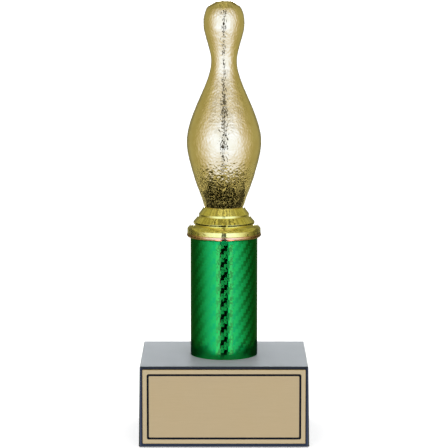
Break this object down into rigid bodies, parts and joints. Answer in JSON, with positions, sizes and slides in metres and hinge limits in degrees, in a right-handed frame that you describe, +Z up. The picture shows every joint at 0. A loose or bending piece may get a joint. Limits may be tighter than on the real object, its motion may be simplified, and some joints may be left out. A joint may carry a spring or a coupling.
{
  "type": "bowling trophy",
  "caption": "Trophy with a black weighted base and gold name plate, a green foil column, a rose-gold cap, a tiered gold collar and a gold bowling pin figure.",
  "frame": {"origin": "middle of the surface that the felt pads stand on, under the column's axis", "axes": "+Z up along the column, -Y out of the name plate, +X to the right of a person facing the plate"},
  "size_m": [0.0956, 0.0758, 0.2481],
  "materials": {
    "base_plastic": "polished black moulding",
    "plate_metal": "satin gold anodised",
    "black_enamel": "baked enamel",
    "green_foil": "prismatic metallised film",
    "rose_metal": "rose-gold anodised, bright",
    "collar_gold": "vacuum-metallised gold, polished",
    "figure_gold": "vacuum-metallised gold, pebbled",
    "column_plastic": "extruded white",
    "plug_plastic": "moulded black",
    "zinc_steel": "zinc plated",
    "ballast_iron": "as cast, painted grey",
    "pressed_board": "pressed fibre board",
    "felt": "wool felt",
    "adhesive": "double-sided sheet"
  },
  "bodies": {
    "root": {"base_shell": "base_plastic", "name_plate": "plate_metal", "plate_border": "black_enamel", "plate_adhesive": "adhesive", "column_foil": "green_foil", "column_tube": "column_plastic", "foot_plug": "plug_plastic", "top_plug": "plug_plastic", "column_cap": "rose_metal", "figure_collar": "collar_gold", "pin_front_shell": "figure_gold", "pin_rear_shell": "figure_gold", "pin_plug": "plug_plastic", "pin_nut": "zinc_steel", "tie_rod": "zinc_steel", "base_washer": "zinc_steel", "base_lock_washer": "zinc_steel", "base_nut": "zinc_steel", "cap_washer": "zinc_steel", "cap_nut": "zinc_steel", "ballast_block": "ballast_iron", "ballast_screws": "zinc_steel", "bottom_board": "pressed_board", "board_screws": "zinc_steel", "felt_pads": "felt"}
  },
  "joints": []
}
